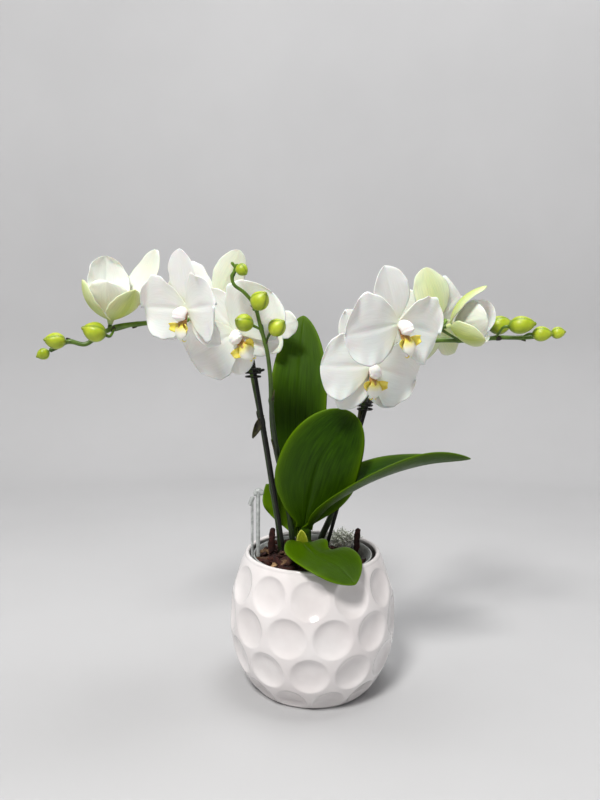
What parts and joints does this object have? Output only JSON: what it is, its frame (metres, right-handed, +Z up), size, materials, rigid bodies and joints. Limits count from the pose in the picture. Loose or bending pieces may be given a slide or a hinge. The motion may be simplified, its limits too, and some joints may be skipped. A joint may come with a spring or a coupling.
{
  "type": "potted orchid",
  "caption": "White moth orchid on three staked spikes with broad leaves, in a clear nursery pot of bark inside a round dimpled glazed cover pot.",
  "frame": {"origin": "centre of the cover pot's flat foot, on the surface it stands on", "axes": "+Z up along the pot's axis, +X to the viewer's right, -Y towards the front that most flowers face"},
  "size_m": [0.3885, 0.1424, 0.3417],
  "materials": {
    "glaze": "white gloss glaze with fine grey crazing-like streaks",
    "clear_plastic": "clear, slightly clouded",
    "bark": "rough, damp",
    "moss": "fibrous",
    "leaf": "waxy",
    "young_leaf": "waxy",
    "spike": "waxy, mottled dark purple",
    "bud": "satin",
    "tepal": "matt, slightly translucent",
    "lip": "satin",
    "black_plastic": "satin"
  },
  "bodies": {
    "root": {"cover_pot": "glaze", "nursery_pot": "clear_plastic", "bark_bed": "bark", "bark_chip_tall": "bark", "bark_chip_right": "bark", "moss_tuft": "moss", "crown": "leaf", "leaf_back_tall": "leaf", "leaf_front_oval": "leaf", "leaf_right_arching": "leaf", "leaf_front_drooping": "leaf", "leaf_left_short": "leaf", "leaf_new": "young_leaf", "spike_left": "spike", "spike_middle": "spike", "spike_right": "spike", "stake_left": "black_plastic", "stake_right": "black_plastic", "clip_left": "black_plastic", "clip_right": "black_plastic", "label_pick": "clear_plastic", "flower_1_sepals": "tepal", "flower_1_petals": "tepal", "flower_1_lip": "lip", "flower_2_sepals": "tepal", "flower_2_petals": "tepal", "flower_2_lip": "lip", "flower_3_sepals": "tepal", "flower_3_petals": "tepal", "flower_3_lip": "lip", "flower_4_sepals": "tepal", "flower_4_petals": "tepal", "flower_4_lip": "lip", "flower_5_sepals": "tepal", "flower_5_petals": "tepal", "flower_5_lip": "lip", "flower_6_sepals": "tepal", "flower_6_petals": "tepal", "flower_6_lip": "lip", "flower_7_sepals": "tepal", "flower_7_petals": "tepal", "flower_7_lip": "lip", "flower_8_sepals": "tepal", "flower_8_petals": "tepal", "flower_8_lip": "lip", "flower_9_sepals": "tepal", "flower_9_petals": "tepal", "flower_9_lip": "lip", "bud_left_1": "bud", "bud_left_2": "bud", "bud_left_3": "bud", "bud_middle_1": "bud", "bud_middle_2": "bud", "bud_middle_3": "bud", "bud_middle_4": "bud", "bud_right_1": "bud", "bud_right_2": "bud", "bud_right_3": "bud", "bud_right_4": "bud"}
  },
  "joints": []
}
